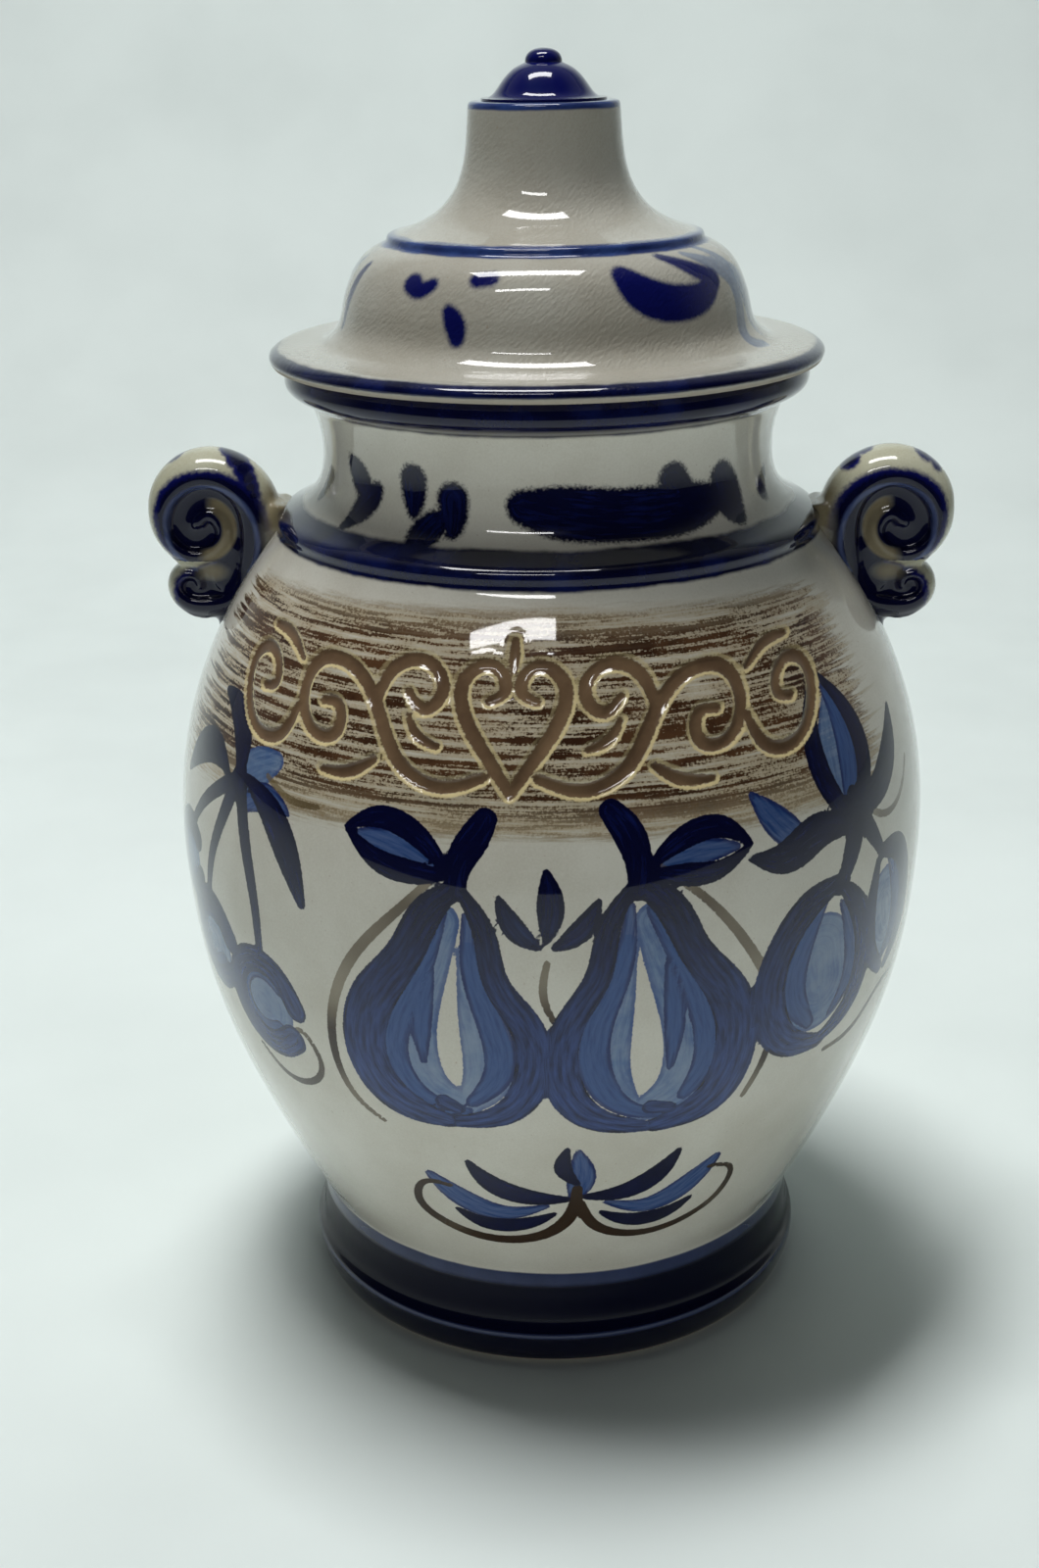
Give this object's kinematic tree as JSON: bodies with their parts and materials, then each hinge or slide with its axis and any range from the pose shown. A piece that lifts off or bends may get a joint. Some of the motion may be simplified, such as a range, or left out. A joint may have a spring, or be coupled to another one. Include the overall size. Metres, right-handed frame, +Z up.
{
  "type": "rumtopf pot",
  "caption": "Lidded stoneware fruit jar: round belly on a flared foot, waisted neck, scroll handles and a domed lift-off lid with a chimney knob.",
  "frame": {"origin": "centre of the foot ring on the surface that the pot stands on", "axes": "+Z up along the pot's axis of revolution; the handles lie along +X and -X; the painted front faces -Y"},
  "size_m": [0.2274, 0.2174, 0.36],
  "materials": {
    "jar_glaze": "clear gloss glaze over pale grey stoneware, painted in cobalt blue with a brushed brown slip band",
    "handle_glaze": "clear gloss glaze over pale grey stoneware with navy painted scrolls",
    "lid_glaze": "clear gloss glaze with fine orange-peel texture, navy edge lines, bare clay seat",
    "cap_glaze": "deep navy gloss glaze"
  },
  "bodies": {
    "pot": {"jar_body": "jar_glaze", "handle_right": "handle_glaze", "handle_left": "handle_glaze"},
    "lid": {"lid": "lid_glaze", "lid_cap": "cap_glaze"}
  },
  "joints": [
    {"name": "lid_lift", "type": "slide", "parent": "pot", "child": "lid", "axis": [0, 0, 1], "range_m": [0, 0.15]}
  ]
}
